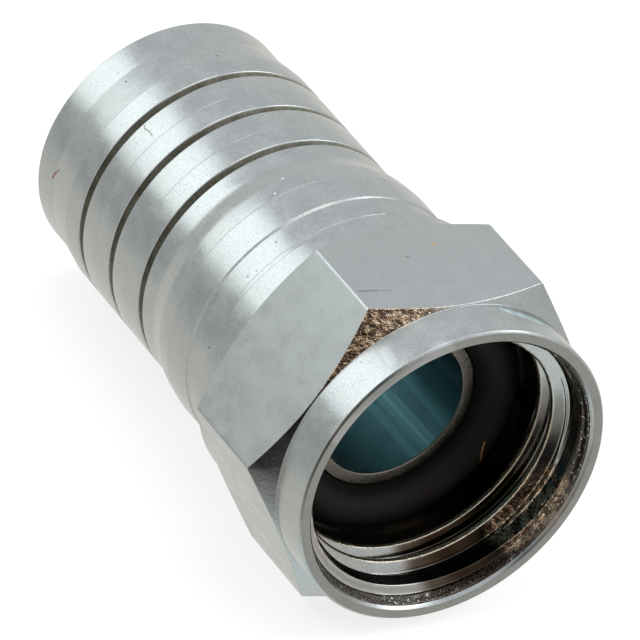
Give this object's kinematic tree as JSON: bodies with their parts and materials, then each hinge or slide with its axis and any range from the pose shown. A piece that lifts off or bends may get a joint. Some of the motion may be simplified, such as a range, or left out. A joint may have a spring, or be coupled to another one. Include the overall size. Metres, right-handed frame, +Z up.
{
  "type": "coaxial cable f connector",
  "caption": "Crimp-on male F connector for coaxial cable: free-spinning hex coupling nut with inner thread, hollow post, rubber sealing ring and grooved crimp sleeve.",
  "frame": {"origin": "on the ground, under the middle of the connector's length and width", "axes": "+Z up as the connector lies; the mating face looks towards -Y; the connector's own axis runs towards +Y and dips 3.75 degrees towards the cable end; +X across a pair of the nut's corners"},
  "size_m": [0.0128, 0.0202, 0.0114],
  "materials": {
    "nut_plating": "satin nickel plate on brass",
    "post_plating": "nickel plate on brass",
    "seal_rubber": "black rubber",
    "body_plating": "satin nickel plate on brass"
  },
  "bodies": {
    "cable_side": {"post": "post_plating", "body": "body_plating", "o_ring": "seal_rubber"},
    "nut": {"coupling_nut": "nut_plating"}
  },
  "joints": [
    {"name": "nut_spin", "type": "hinge", "parent": "cable_side", "child": "nut", "pos_m": [0, -0.00632, 0.0057], "axis": [0, -0.9979, 0.0654], "continuous": true}
  ]
}
